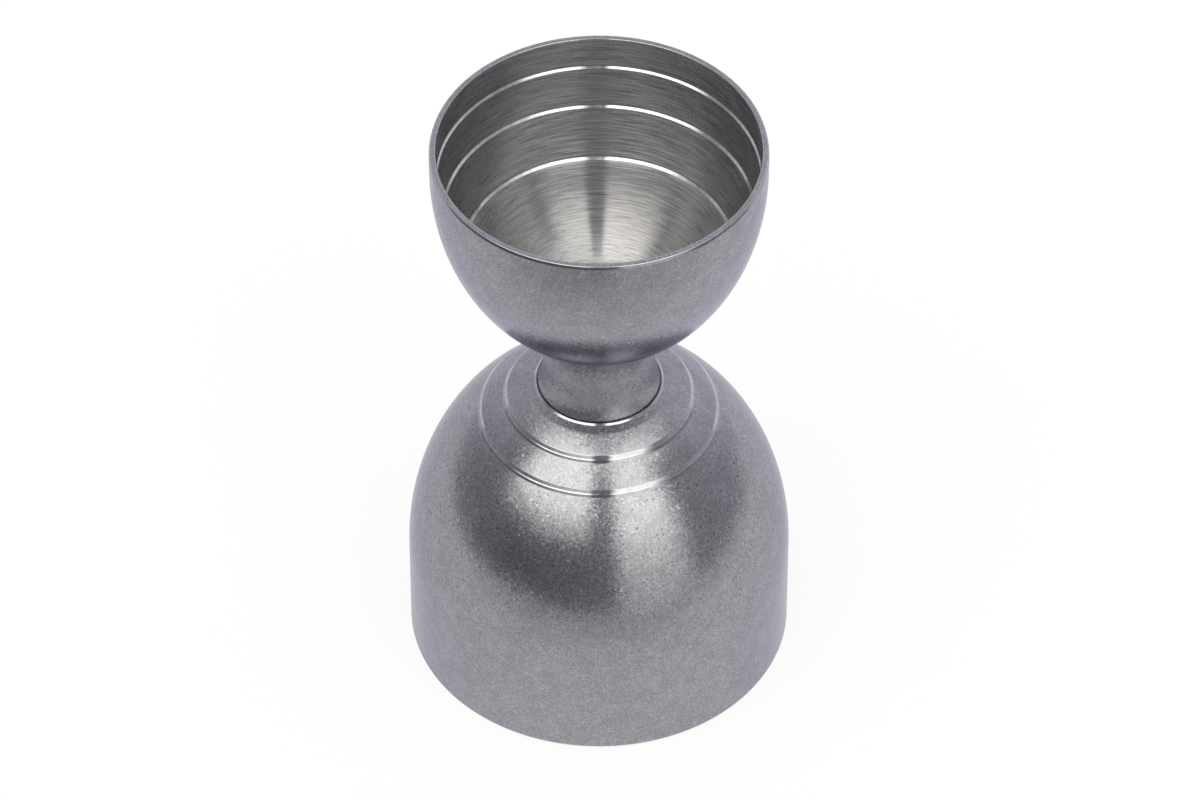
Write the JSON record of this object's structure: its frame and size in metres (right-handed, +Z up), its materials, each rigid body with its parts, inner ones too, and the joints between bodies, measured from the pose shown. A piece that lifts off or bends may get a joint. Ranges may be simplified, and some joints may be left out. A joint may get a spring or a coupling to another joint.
{
  "type": "cocktail jigger",
  "caption": "Double-ended bell jigger: a small bowl-shaped measuring cup, mouth up, and a larger bell-shaped one, mouth down, joined base to base by a waisted neck.",
  "frame": {"origin": "centre of the large cup's rim plane, on the common axis, where the jigger stands mouth down", "axes": "+Z up the common axis towards the small cup; X and Y are any two directions across it"},
  "size_m": [0.0514, 0.0514, 0.086],
  "materials": {
    "tumbled_steel": "stainless steel, tumbled to a dull mottled grey outside, with fine turning lines inside the cups",
    "turned_steel": "plain turned stainless steel, hidden inside the neck"
  },
  "bodies": {
    "root": {"small_cup": "tumbled_steel", "large_cup": "tumbled_steel", "neck_spool": "tumbled_steel", "cup_boss": "turned_steel", "bell_boss": "turned_steel", "joining_stud": "turned_steel"}
  },
  "joints": []
}
